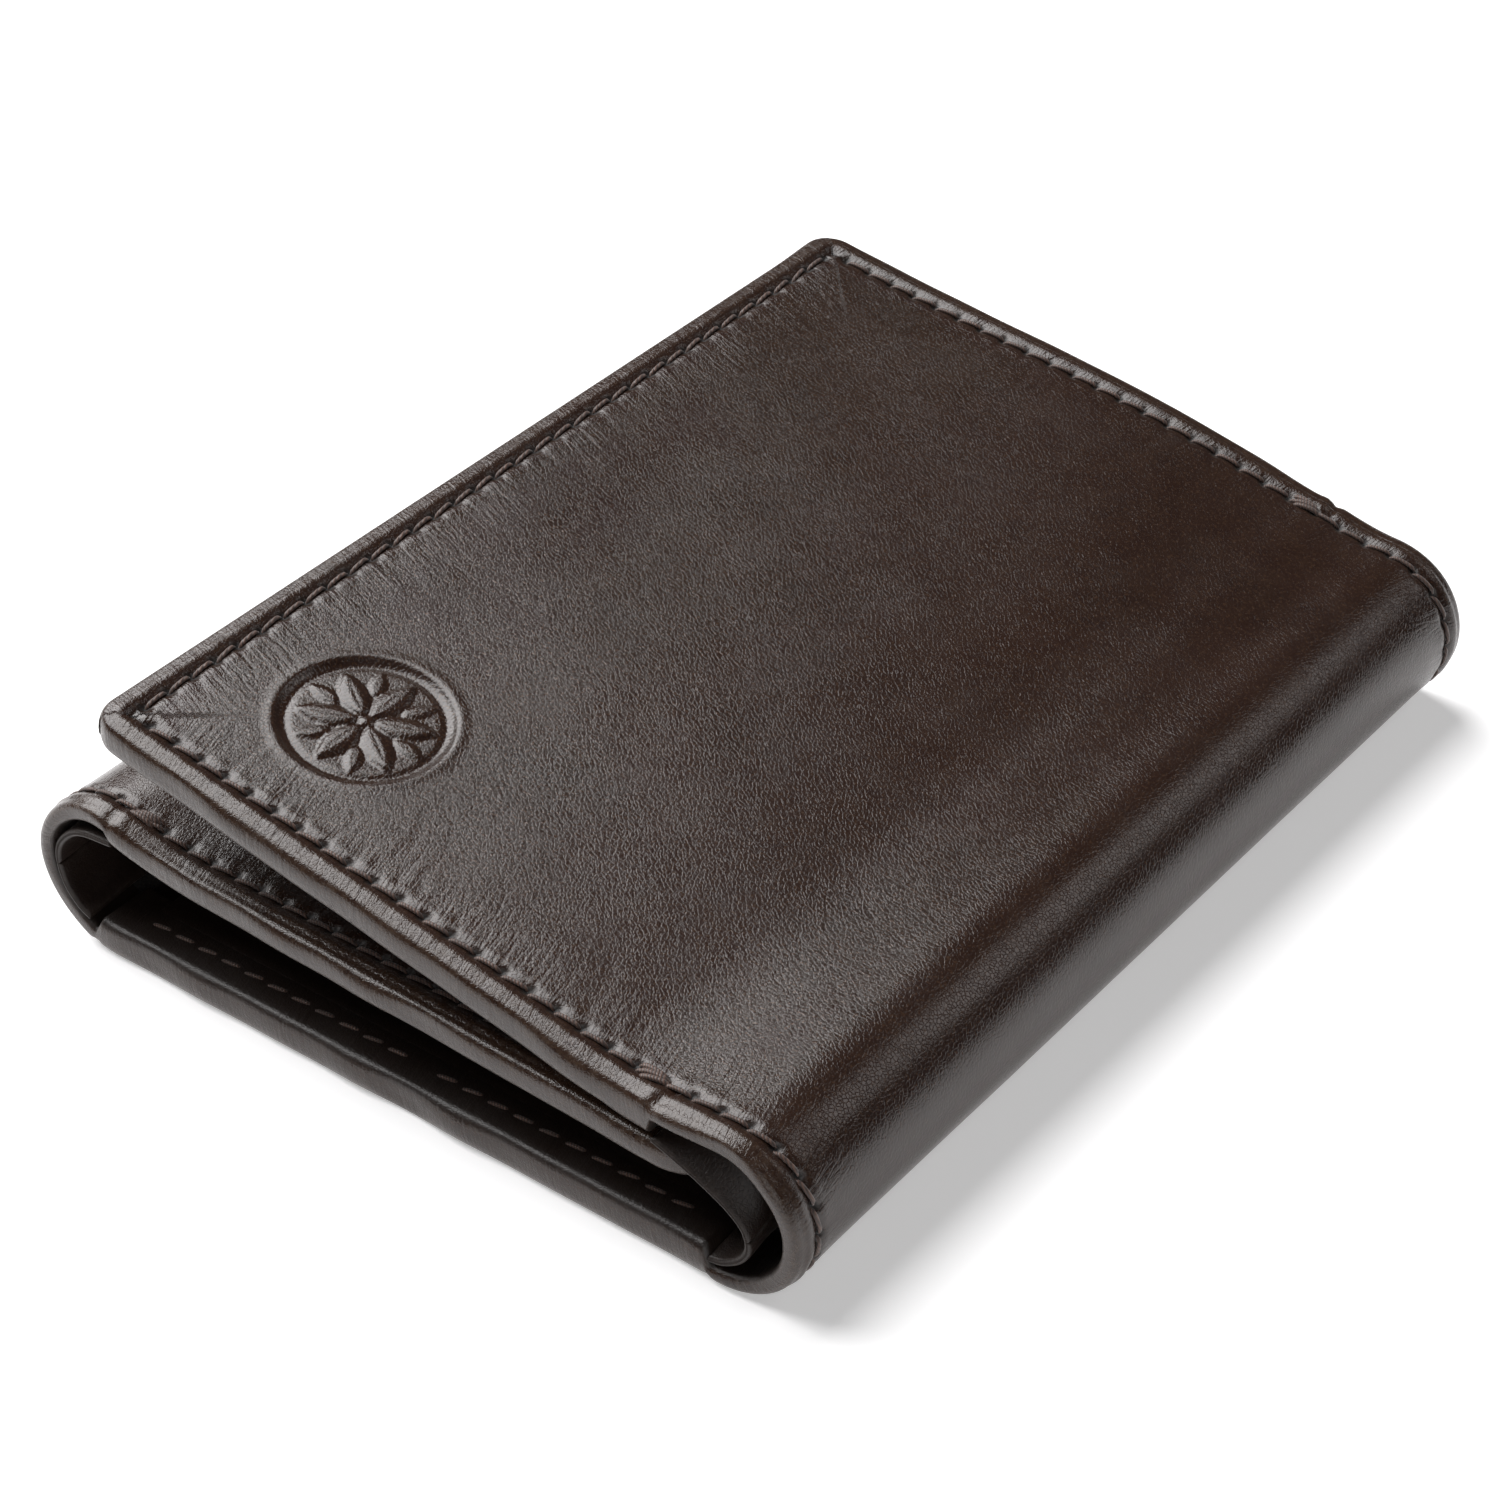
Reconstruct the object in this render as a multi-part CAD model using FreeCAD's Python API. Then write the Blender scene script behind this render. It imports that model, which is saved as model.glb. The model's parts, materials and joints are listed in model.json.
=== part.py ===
import FreeCAD, Part
import math
import os

# Trifold wallet, lying closed on its centre panel. Millimetres, +Z up.
# X runs across the closed wallet, Y along the two folds, and Z = 0 is the surface it lies on.
# The wallet's bottom edge is at -Y, and the mouths of its bill compartment and card pockets are at +Y.
# From below: centre panel, middle flap (hinged at the left fold), cover flap (hinged at the right fold).

Vector = FreeCAD.Vector

# Driving dimensions
closed_width = 81.2
wallet_height = 100.0  # along the folds, in Y
half_width = closed_width / 2
bottom_edge = -wallet_height / 2
top_edge = wallet_height / 2

fold_strip_thickness = 1.7  # outer leather, its turned edge and its lining
fold_leather = 1.35
right_fold_radius = 7.55  # to the outside of the leather
left_fold_radius = 7.85
inner_strip_thickness = 0.7
inner_strip_radius = 5.2
right_inner_centre = (31.15, 7.25)  # X and Z of the inner strip's bend at the right fold
left_inner_centre = (-33.45, 8.30)

turned_rim = 1.2  # width of the leather turned over a panel's edge
edge_softness = 1.0  # radius of the turned edges
corner_radius = 3.0  # of a flap's two free corners, in plan
mouth_step = 0.6  # the inner layers stop this far below the wallet's top edge
layer_end_gap = 0.3  # and this far short of a panel's end beside a fold

stitch_inset = 2.8  # from an edge to its seam
thread_width = 0.5
thread_depth = 0.3
bar_tack_length = 3.0
bar_tack_width = 0.9
bar_tack_start = 1.0  # from a panel's end beside a fold

butt_gap = 0.05  # between the ends of two inner strips that meet edge to edge

joint_gap_angle = 3.4  # degrees left open in a fold strip where the wallet bends
bend_angle = 45.0  # the two bends of each fold are this far above and below its middle

pocket_margin = 4.2  # from a panel's edges to its card pockets
first_mouth_of_four = 28.0  # Y of the rearmost pocket's mouth on the panel with four pockets
first_mouth = 20.0  # and on the other two panels
pocket_pitch = 14.0  # from one card pocket's mouth to the next
pocket_overlap = 22.0  # how far a rear pocket reaches down behind the one in front of it

# Each panel: thickness of its layers from the outer leather inwards
center_layers = {"shell": 1.0, "lining": 0.25, "bill_gap": 0.2, "divider": 0.2, "facing": 0.45, "pocket": 0.3}
middle_layers = {"shell": 0.9, "lining": 0.2, "bill_gap": 0.15, "divider": 0.2, "facing": 0.4, "pocket": 0.4}
cover_layers = {"shell": 1.0, "lining": 0.25, "bill_gap": 0.2, "divider": 0.2, "facing": 0.45, "pocket": 0.3}

center_thickness = 3.3
center_left = -35.3
center_right = 31.9
center_pockets = 4

middle_thickness = 2.7
middle_start = -31.0  # X of the end beside the left fold
middle_tip = 32.5
middle_start_top = 14.15  # Z of the outer face at that end
middle_tilt = 2.68  # degrees; the free edge lies lower than the fold
middle_pockets = 2

cover_thickness = 3.0
cover_end = 24.6  # X of the end beside the right fold
cover_free_edge = -31.6
cover_end_top = 14.93  # Z of the outer face at that end
cover_tilt = 11.55  # degrees; the free edge springs up
cover_pockets = 3
cover_notch = 26.9  # X of the step where the turned rim ends
cover_notch_bottom = 11.85
ornament_inset_x = 16.3  # centre of the round ornament, from the cover flap's free edge
ornament_inset_y = 16.0  # and from the bottom edge
ornament_radius = 7.4
ornament_groove = 0.5  # width of the pressed ring round it
ornament_depth = 0.25
cover_lap = 0.3  # the fold's leather and the notch's rim run this far into the cover flap's end
middle_merge_angle = 110.0  # the left fold's arc comes down past its top to meet the middle flap
middle_merge_lead = 2.4
cut_margin = 1.0  # how far a cutting shape stands proud of what it cuts

nodes = {}


def slab(x0, x1, y0, y1, depth0, depth1, outward):
    """A flat layer between two depths below an outer face at Z = 0 that looks up or down."""
    z0, z1 = sorted((-outward * depth0, -outward * depth1))
    return Part.makeBox(x1 - x0, y1 - y0, z1 - z0, Vector(x0, y0, z0))


def at_x(edge, x):
    return all(abs(v.X - x) < 1e-6 for v in edge.Vertexes)


def is_vertical(edge):
    first, last = edge.Vertexes[0].Point, edge.Vertexes[-1].Point
    return abs(first.z - last.z) > 0.5


def turned_plate(x0, x1, thickness, outward, free_x):
    """A panel's full block with its edges softened, but square where it meets a fold."""
    body = slab(x0, x1, bottom_edge, top_edge, 0, thickness, outward)
    fold_ends = [x for x in (x0, x1) if x != free_x]
    if free_x is not None:
        corners = [e for e in body.Edges if is_vertical(e) and at_x(e, free_x)]
        body = body.makeFillet(corner_radius, corners)
    soft = []
    for edge in body.Edges:
        if is_vertical(edge) or any(at_x(edge, x) for x in fold_ends):
            continue
        soft.append(edge)
    return body.makeFillet(edge_softness, soft)


def bar_path(x0, x1, y0, y1, sides, depth, outward):
    """Thread laid in the face at this depth, along the named sides of a rectangle."""
    half = thread_width / 2
    runs = {
        "bottom": (x0 - half, x1 + half, y0 - half, y0 + half),
        "top": (x0 - half, x1 + half, y1 - half, y1 + half),
        "left": (x0 - half, x0 + half, y0 - half, y1 + half),
        "right": (x1 - half, x1 + half, y0 - half, y1 + half),
    }
    bars = [slab(*runs[s], depth, depth + thread_depth, outward) for s in sides]
    path = bars[0]
    for bar in bars[1:]:
        path = path.fuse(bar)
    return path.removeSplitter()


def placed(shape, tilt, x, z):
    """Turns a flat panel about Y, then moves its corner to X, Z."""
    moved = shape.copy()
    moved.rotate(Vector(0, 0, 0), Vector(0, 1, 0), tilt)
    moved.translate(Vector(x, 0, z))
    return moved


def arc_strip(centre, side, r_in, r_out, a0, a1, y0, y1):
    """Part of a fold. Angles are from the fold's outermost line, downwards negative."""
    cx, cz = centre

    def at(r, a):
        angle = math.radians(a)
        return Vector(cx + side * r * math.cos(angle), y0, cz + r * math.sin(angle))

    middle = (a0 + a1) / 2
    outer = Part.Arc(at(r_out, a0), at(r_out, middle), at(r_out, a1)).toShape()
    inner = Part.Arc(at(r_in, a1), at(r_in, middle), at(r_in, a0)).toShape()
    ends = (Part.makeLine(at(r_out, a1), at(r_in, a1)), Part.makeLine(at(r_in, a0), at(r_out, a0)))
    wire = Part.Wire([outer, ends[0], inner, ends[1]])
    return Part.Face(wire).extrude(Vector(0, y1 - y0, 0))


def straight_lead(centre, side, r_in, r_out, angle, length, y0, y1):
    """The flat run that leaves a fold's arc at this angle, along its tangent."""
    cx, cz = centre
    cosine, sine = math.cos(math.radians(angle)), math.sin(math.radians(angle))
    near = [Vector(cx + side * r * cosine, y0, cz + r * sine) for r in (r_out, r_in)]
    along = Vector(-side * sine * length, 0, cosine * length)
    corners = [near[0], near[0] + along, near[1] + along, near[1], near[0]]
    return Part.Face(Part.makePolygon(corners)).extrude(Vector(0, y1 - y0, 0))


def block(x0, x1, y0, y1, z0, z1):
    return Part.makeBox(x1 - x0, y1 - y0, z1 - z0, Vector(x0, y0, z0))


def fuse(*shapes):
    whole = shapes[0]
    for shape in shapes[1:]:
        whole = whole.fuse(shape)
    return whole.removeSplitter()


class Fold:
    """One of the two folds: an outer strip of shell leather and lining, and a thin inner strip."""

    def __init__(self, side, radius, inner_centre):
        self.side = side
        self.radius = radius
        self.centre = (side * (half_width - radius), radius)
        self.inner_centre = inner_centre

    def strip(self, r_in, r_out, a0, a1, y0=bottom_edge, y1=top_edge, lead=0):
        """An arc of the outer strip, and beyond its upper end a straight lead of this length."""
        arc = arc_strip(self.centre, self.side, r_in, r_out, a0, a1, y0, y1)
        if not lead:
            return arc
        return fuse(arc, straight_lead(self.centre, self.side, r_in, r_out, a1, lead, y0, y1))

    def leather(self, a0, a1, lead=0):
        """Outer leather, turned inwards at both ends over the lining."""
        r_out = self.radius
        r_in = r_out - fold_strip_thickness
        skin = self.strip(r_out - fold_leather, r_out, a0, a1, lead=lead)
        bottom_hem = self.strip(r_in, r_out, a0, a1, bottom_edge, bottom_edge + turned_rim)
        top_hem = self.strip(r_in, r_out, a0, a1, top_edge - turned_rim, top_edge)
        return fuse(skin, bottom_hem, top_hem)

    def lining(self, a0, a1):
        r_out = self.radius - fold_leather
        r_in = self.radius - fold_strip_thickness
        return self.strip(r_in, r_out, a0, a1, bottom_edge + turned_rim, top_edge - turned_rim)

    def threads(self, a0, a1):
        """Seams along the two ends of the outer strip, flush with the leather."""
        seams = []
        for y in (bottom_edge + stitch_inset, top_edge - stitch_inset):
            y0, y1 = y - thread_width / 2, y + thread_width / 2
            seams.append(self.strip(self.radius - thread_depth, self.radius, a0, a1, y0, y1))
        return seams

    def inner(self, a0, a1, lead=0):
        r_out = inner_strip_radius
        r_in = r_out - inner_strip_thickness
        place = (self.inner_centre, self.side, r_in, r_out)
        arc = arc_strip(*place, a0, a1, bottom_edge, top_edge - mouth_step)
        if not lead:
            return arc
        return fuse(arc, straight_lead(*place, a1, lead, bottom_edge, top_edge - mouth_step))


right_fold = Fold(1, right_fold_radius, right_inner_centre)
left_fold = Fold(-1, left_fold_radius, left_inner_centre)
spine_low = -bend_angle + joint_gap_angle / 2
spine_high = bend_angle - joint_gap_angle / 2
panel_low = -bend_angle - joint_gap_angle / 2
panel_high = bend_angle + joint_gap_angle / 2


def card_pockets(name, count, x0, x1, depth, layer, outward, place):
    """Card pockets stepped towards the bottom edge, the last one in front and the longest."""
    mouth = first_mouth_of_four if count == 4 else first_mouth
    for k in range(count):
        y1 = mouth - k * pocket_pitch
        y0 = y1 - pocket_pitch - pocket_overlap
        if k == count - 1:
            y0 = bottom_edge + pocket_margin
        sheet = slab(x0, x1, y0, y1, depth + k * layer, depth + (k + 1) * layer, outward)
        nodes[f"{name}_card_pocket_{k + 1}"] = place(sheet)


def panel(name, x0, x1, thickness, layers, outward, free_x, seam_sides, pockets, place):
    """Shell, lining, divider lining, facing, card pockets, seam and bar tacks of one panel."""
    rim_left = turned_rim if free_x == x0 else 0
    rim_right = turned_rim if free_x == x1 else 0
    inner_x0 = x0 + (rim_left or layer_end_gap)
    inner_x1 = x1 - (rim_right or layer_end_gap)
    inner_y0 = bottom_edge + turned_rim
    inner_y1 = top_edge - mouth_step
    shell_depth = layers["shell"]
    lining_depth = shell_depth + layers["lining"]
    divider_start = lining_depth + layers["bill_gap"]
    divider_end = divider_start + layers["divider"]
    facing_end = divider_end + layers["facing"]

    shell = turned_plate(x0, x1, thickness, outward, free_x)
    hollow_x0, hollow_x1 = x0 + (rim_left or -cut_margin), x1 - (rim_right or -cut_margin)
    hollow = slab(hollow_x0, hollow_x1, inner_y0, top_edge + cut_margin, shell_depth,
                  thickness + cut_margin, outward)
    shell = shell.cut(hollow)
    lining = slab(inner_x0, inner_x1, inner_y0, top_edge - turned_rim, shell_depth, lining_depth, outward)
    divider = slab(inner_x0, inner_x1, inner_y0, inner_y1, divider_start, divider_end, outward)
    facing = slab(inner_x0, inner_x1, inner_y0, inner_y1, divider_end, facing_end, outward)

    seam_x0 = x0 + stitch_inset if free_x == x0 else x0 + thread_width / 2
    seam_x1 = x1 - stitch_inset if free_x == x1 else x1 - thread_width / 2
    seam_box = (seam_x0, seam_x1, bottom_edge + stitch_inset, top_edge - stitch_inset)
    outer_thread = bar_path(*seam_box, seam_sides, 0, outward)
    inner_sides = [s for s in seam_sides if s != "top"]
    inner_thread = bar_path(*seam_box, inner_sides, facing_end - thread_depth, outward)

    tacks = []
    for fold_x, inwards in ((x0, 1), (x1, -1)):
        if fold_x == free_x:
            continue
        start = fold_x + inwards * bar_tack_start
        tack_x0, tack_x1 = sorted((start, start + inwards * bar_tack_length))
        for seam_y in (bottom_edge + stitch_inset, top_edge - stitch_inset):
            y = seam_y + math.copysign(thread_width / 2 + bar_tack_width / 2, -seam_y)
            y0, y1 = y - bar_tack_width / 2, y + bar_tack_width / 2
            tacks.append(slab(tack_x0, tack_x1, y0, y1, 0, thread_depth, outward))

    facing = facing.cut(inner_thread)
    nodes[f"{name}_shell_lining"] = place(lining)
    nodes[f"{name}_divider_lining"] = place(divider)
    nodes[f"{name}_facing"] = place(facing)
    nodes[f"{name}_bar_tacks"] = place(Part.makeCompound(tacks))
    pocket_x0, pocket_x1 = x0 + pocket_margin, x1 - pocket_margin
    card_pockets(name, pockets, pocket_x0, pocket_x1, facing_end, layers["pocket"], outward, place)
    return place(shell), [place(outer_thread), place(inner_thread)]


def beyond(shape, x, side):
    """What is left of a shape past a panel's end, towards the fold on this side."""
    x0, x1 = (-half_width, x) if side > 0 else (x, half_width)
    fold_height = 2 * max(right_fold_radius, left_fold_radius)
    y0, y1 = bottom_edge - cut_margin, top_edge + cut_margin
    return shape.cut(block(x0, x1, y0, y1, -cut_margin, fold_height + cut_margin))


def sewn(leather, threads, name):
    """The leather with room cut in it for its seams and for the panel's bar tacks."""
    return leather.cut(Part.makeCompound(threads + [nodes[f"{name}_bar_tacks"]]))


def build_center():
    """Centre panel: the wallet lies on its outer leather, which bends up into both folds."""
    shell, threads = panel(
        "center", center_left, center_right, center_thickness, center_layers,
        -1, None, ["bottom", "top"], center_pockets, lambda shape: shape,
    )
    leathers = [shell]
    linings = [nodes["center_shell_lining"]]
    inner_strips = []
    for fold, end in ((left_fold, center_left), (right_fold, center_right)):
        start_x = fold.centre[0]
        seams = [beyond(seam, end, fold.side) for seam in fold.threads(-90, panel_low)]
        leathers.append(beyond(fold.leather(-90, panel_low), end, fold.side))
        if start_x * fold.side > end * fold.side:
            x0, x1 = sorted((end, start_x))
            leathers.append(block(x0, x1, bottom_edge, top_edge, 0, fold_leather))
        threads.extend(seams)
        linings.append(beyond(fold.lining(-90, panel_low), end, fold.side))
        strip_end = end + fold.side * butt_gap
        inner_strips.append(beyond(fold.inner(-90, panel_low), strip_end, fold.side))
    nodes["center_shell"] = sewn(fuse(*leathers), threads, "center")
    nodes["center_edge_thread"] = Part.makeCompound(threads)
    nodes["center_shell_lining"] = Part.makeCompound(linings)
    nodes["center_inner_strips"] = Part.makeCompound(inner_strips)


def build_middle_flap():
    """Middle flap: hinged at the left fold, lying over the centre panel."""
    length = (middle_tip - middle_start) / math.cos(math.radians(middle_tilt))

    def place(shape):
        return placed(shape, middle_tilt, middle_start, middle_start_top)

    shell, threads = panel(
        "middle_flap", 0, length, middle_thickness, middle_layers,
        1, length, ["bottom", "top", "right"], middle_pockets, place,
    )
    seams = left_fold.threads(panel_high, 90)
    leather = left_fold.leather(panel_high, middle_merge_angle, middle_merge_lead)
    nodes["middle_flap_shell"] = sewn(fuse(shell, leather), threads + seams, "middle_flap")
    nodes["middle_flap_edge_thread"] = Part.makeCompound(threads + seams)
    linings = [nodes["middle_flap_shell_lining"], left_fold.lining(panel_high, 90)]
    nodes["middle_flap_shell_lining"] = Part.makeCompound(linings)
    lead = middle_start - 2 * butt_gap - left_fold.inner_centre[0]
    nodes["middle_flap_inner_strip"] = left_fold.inner(panel_high, 90, lead)


def build_cover_flap():
    """Cover flap: hinged at the right fold, on top, with its free edge sprung up."""
    length = (cover_end - cover_free_edge) / math.cos(math.radians(cover_tilt))

    def place(shape):
        return placed(shape, cover_tilt, cover_end, cover_end_top)

    shell, threads = panel(
        "cover_flap", -length, 0, cover_thickness, cover_layers,
        1, -length, ["bottom", "top", "left"], cover_pockets, place,
    )
    centre = Vector(ornament_inset_x - length, bottom_edge + ornament_inset_y, -ornament_depth)
    ring = Part.makeCylinder(ornament_radius + ornament_groove / 2, cut_margin, centre)
    ring = ring.cut(Part.makeCylinder(ornament_radius - ornament_groove / 2, cut_margin, centre))
    shell = shell.cut(place(ring))
    seams = right_fold.threads(panel_high, 90)
    lead = right_fold.centre[0] - cover_end + cover_lap
    leather = right_fold.leather(panel_high, 90, lead)
    leather_bottom = 2 * right_fold.radius - fold_leather
    rim = block(cover_end - cover_lap, cover_notch, bottom_edge, bottom_edge + turned_rim,
                cover_notch_bottom, leather_bottom)
    nodes["cover_flap_shell"] = sewn(fuse(shell, leather, rim), threads + seams, "cover_flap")
    nodes["cover_flap_edge_thread"] = Part.makeCompound(threads + seams)
    linings = [nodes["cover_flap_shell_lining"], right_fold.lining(panel_high, 90)]
    nodes["cover_flap_shell_lining"] = Part.makeCompound(linings)
    notch_fill = block(cover_end - cover_lap, cover_notch, bottom_edge + turned_rim,
                       top_edge - mouth_step, cover_notch_bottom, leather_bottom)
    nodes["cover_flap_notch_filler"] = notch_fill.cut(nodes["cover_flap_shell"])
    strip_lead = right_fold.inner_centre[0] - cover_notch - butt_gap
    nodes["cover_flap_inner_strip"] = right_fold.inner(panel_high, 90, strip_lead)


def build_spine(name, fold):
    """The upright strip of one fold, between its two bends."""
    threads = fold.threads(spine_low, spine_high)
    nodes[f"{name}_shell"] = fold.leather(spine_low, spine_high).cut(Part.makeCompound(threads))
    nodes[f"{name}_shell_lining"] = fold.lining(spine_low, spine_high)
    nodes[f"{name}_edge_thread"] = Part.makeCompound(threads)
    nodes[f"{name}_inner_strip"] = fold.inner(spine_low, spine_high)


build_center()
build_middle_flap()
build_cover_flap()
build_spine("left_spine", left_fold)
build_spine("right_spine", right_fold)

os.makedirs("parts", exist_ok=True)
for node, shape in nodes.items():
    shape.exportStep(f"parts/{node}.step")
    print(f"{node}: {len(shape.Solids)} solids, {shape.Volume:.1f} mm3, valid {shape.isValid()}")
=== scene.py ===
import json
import math

import bpy
import numpy as np
from mathutils import Matrix, Vector


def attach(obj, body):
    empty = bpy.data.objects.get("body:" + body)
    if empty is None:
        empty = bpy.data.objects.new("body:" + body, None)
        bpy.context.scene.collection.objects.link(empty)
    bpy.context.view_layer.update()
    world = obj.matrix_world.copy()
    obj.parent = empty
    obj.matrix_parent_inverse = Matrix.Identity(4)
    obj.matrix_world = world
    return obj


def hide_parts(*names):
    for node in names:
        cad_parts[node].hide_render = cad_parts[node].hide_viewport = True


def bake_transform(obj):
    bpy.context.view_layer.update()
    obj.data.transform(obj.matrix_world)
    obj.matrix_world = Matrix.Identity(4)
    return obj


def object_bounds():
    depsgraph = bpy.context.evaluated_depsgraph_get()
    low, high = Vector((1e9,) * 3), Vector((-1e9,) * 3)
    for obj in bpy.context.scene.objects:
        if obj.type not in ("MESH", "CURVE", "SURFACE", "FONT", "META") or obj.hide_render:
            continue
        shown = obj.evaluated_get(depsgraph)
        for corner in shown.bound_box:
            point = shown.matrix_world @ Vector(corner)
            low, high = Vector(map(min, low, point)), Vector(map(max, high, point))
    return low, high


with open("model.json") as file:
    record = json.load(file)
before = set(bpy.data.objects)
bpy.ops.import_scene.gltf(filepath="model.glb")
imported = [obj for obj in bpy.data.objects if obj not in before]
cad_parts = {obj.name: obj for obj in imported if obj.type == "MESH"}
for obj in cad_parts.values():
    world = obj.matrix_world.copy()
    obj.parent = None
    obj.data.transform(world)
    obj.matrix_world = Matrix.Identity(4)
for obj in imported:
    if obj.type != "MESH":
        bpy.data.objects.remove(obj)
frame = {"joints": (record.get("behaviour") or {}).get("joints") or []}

# Looks of the trifold wallet. Lengths are in millimetres until a mesh is made, and metres after that.
# A point of the wallet is given by u, its way along a profile that starts at the middle of a fold,
# by y along the fold, and by its depth below the leather's outer face.

CAD_LOW, CAD_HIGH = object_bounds()
MM = 0.001
SEED = 7

# Folds and panels, as in the CAD
HALF_WIDTH = CAD_HIGH.x / MM
FRONT = CAD_LOW.y / MM
BACK = CAD_HIGH.y / MM
SPAN = BACK - FRONT
MIDDLE_START = (-31.0, 14.15)
MIDDLE_TIP = 32.5
MIDDLE_TILT = 2.68
MIDDLE_OVER = 108.0  # degrees that the leather turns over the left fold
MIDDLE_EASE = 0.9  # share of its way down that is spent on easing onto the flap
COVER_END = (24.6, 14.93)
COVER_FREE_EDGE = -31.6
COVER_TILT = 11.55
COVER_BEND_RADIUS = 35.0
COVER_NOTCH = 26.9
CENTER_LEFT, CENTER_RIGHT = -35.3, 31.9
CENTER_THICKNESS, MIDDLE_THICKNESS, COVER_THICKNESS = 3.3, 2.7, 3.0
STRIP_THICKNESS = 1.7
INNER_STRIP_THICKNESS = 0.7
ORNAMENT_FROM_EDGES = (16.3, 16.0)

# Turned edges
EDGE_OUTSET = 1.0
EDGE_FLATNESS = 2.6  # exponent of the superellipse that a turned edge follows
ROLL_LENGTH = 4.0
HEM = 4.8
CORNER_RADIUS = 3.0
MIDDLE_CORNER = 5.5  # the middle flap's free corners turn inside the right fold's inner strip
HEM_CORNER = 0.5
BACK_EDGE_THICKNESS = 1.3
NOTCH_STEP = 0.35
COVER_NOTCH_GAIN = 0.25  # extra thickness of the cover's edge beside its notch

# Grid of the leather
ROW_STEP, COLUMN_STEP = 0.42, 0.45
HEM_STEP, ROLL_STEP, EDGE_STEP = 0.4, 0.18, 0.2
EDGE_ZONE = 4.2
GRID_START, CLOSE_ROW = 0.4, 0.04
ORNAMENT_REACH, ORNAMENT_STEP, ORNAMENT_GAP = 8.4, 0.2, 0.1

# Seams
SEAM_INSET = 2.8
STITCH_PITCH = 2.7
STITCH_RADIUS = 0.19
STITCH_LENGTH = 0.97 * STITCH_PITCH
STITCH_SIDES, STITCH_STATIONS = 8, 9
THREAD_RISE = 0.09
THREAD_SINK = 0.10  # of a seam's thread into its groove
GROOVE_DEPTH, GROOVE_WIDTH = 0.17, 0.5
HOLE_DEPTH, HOLE_WIDTH, HOLE_LENGTH = 0.26, 0.45, 0.42
SIDE_CREASES, END_CREASES = 0.026, 0.020
TACK_LENGTH, TACK_RADIUS, TACK_RISE = 3.0, 0.24, 0.24
CENTER_SEAM_SINK, CENTER_TACK_SINK = 0.35, 0.45
FOLD_UPRIGHT = 60  # degrees of a fold before its seam lies under the panel

# Layers inside each panel, in their order from the outer face, and its card pockets
THICK_LAYERS = {"shell": 1.0, "lining": 0.25, "gap": 0.2, "divider": 0.2, "facing": 0.45, "pocket": 0.3}
THIN_LAYERS = {"shell": 0.9, "lining": 0.2, "gap": 0.15, "divider": 0.2, "facing": 0.4, "pocket": 0.4}
LAYERS = {"center": THICK_LAYERS, "middle_flap": THIN_LAYERS, "cover_flap": THICK_LAYERS}
POCKETS = {"center": (4, 28.0), "middle_flap": (2, 20.0), "cover_flap": (3, 20.0)}  # count and first mouth
POCKET_CLEARANCE = {"center": 0.0, "middle_flap": 5.5, "cover_flap": 4.5}  # from the fold
POCKET_MARGIN = 4.2
POCKET_PITCH = 14.0
POCKET_OVERLAP = 22.0
TURNED_RIM = 1.2
LAYER_GAP = 0.3
LINING_INSET = 3.4
LINING_FOLD_DEPTH = 1.35
MOUTH_STEP = 0.6
BEND_FROM, BEND_TO = 12.0, 80.0  # degrees of a fold at the start and end of its leather's bend; only worked out, nothing bends the pieces
STRIP_BEND = 60  # degrees of a fold for the bend of the lower half of an inner strip; only worked out, nothing bends the strip
INNER_RADIUS = 5.2
RIGHT_INNER_CENTRE = (31.15, 7.25)
LEFT_INNER_CENTRE = (-33.45, 8.30)

PROFILE_STEP = 0.02
PROFILE_SMOOTHING = 0.8
FOLD_CLEARANCE = 2.0


def joint_position(name):
    return next(j for j in frame["joints"] if j["name"] == name)["pos_m"]


def fold_radius(low_joint, high_joint):
    return (joint_position(low_joint)[2] + joint_position(high_joint)[2]) / 2 / MM


RIGHT_RADIUS = fold_radius("right_spine_turn", "cover_flap_turn")
LEFT_RADIUS = fold_radius("left_spine_turn", "middle_flap_turn")
RIGHT_CENTRE = HALF_WIDTH - RIGHT_RADIUS
LEFT_CENTRE = LEFT_RADIUS - HALF_WIDTH


def smooth(t):
    t = np.clip(t, 0, 1)
    return t * t * (3 - 2 * t)


def ramp(value, low, high):
    return smooth((value - low) / (high - low))


ARCH_HEIGHT = 2.4
ARCH_RAMP = 9.0  # length over which the arch begins
ARCH_LOW, ARCH_FULL = 7.0, 13.0  # heights between which it reaches the leather
ARCH_START, ARCH_SPAN = 34.5, 66.1
ARCH_PEAK = 4 / 27  # greatest value of t (1 - t) squared


def back_arch(x, y, z):
    """Lift of the cover flap towards its back edge, where it arches out of its straight run."""
    along = np.clip((ARCH_START - x) / ARCH_SPAN, 0, 1)
    back = np.clip((y - FRONT) / (BACK - FRONT), 0, 1)
    shape = along * (1 - along) ** 2 / ARCH_PEAK * ramp(ARCH_START - x, 0.0, ARCH_RAMP)
    return ARCH_HEIGHT * shape * back ** 1.2 * ramp(z, ARCH_LOW, ARCH_FULL)


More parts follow.
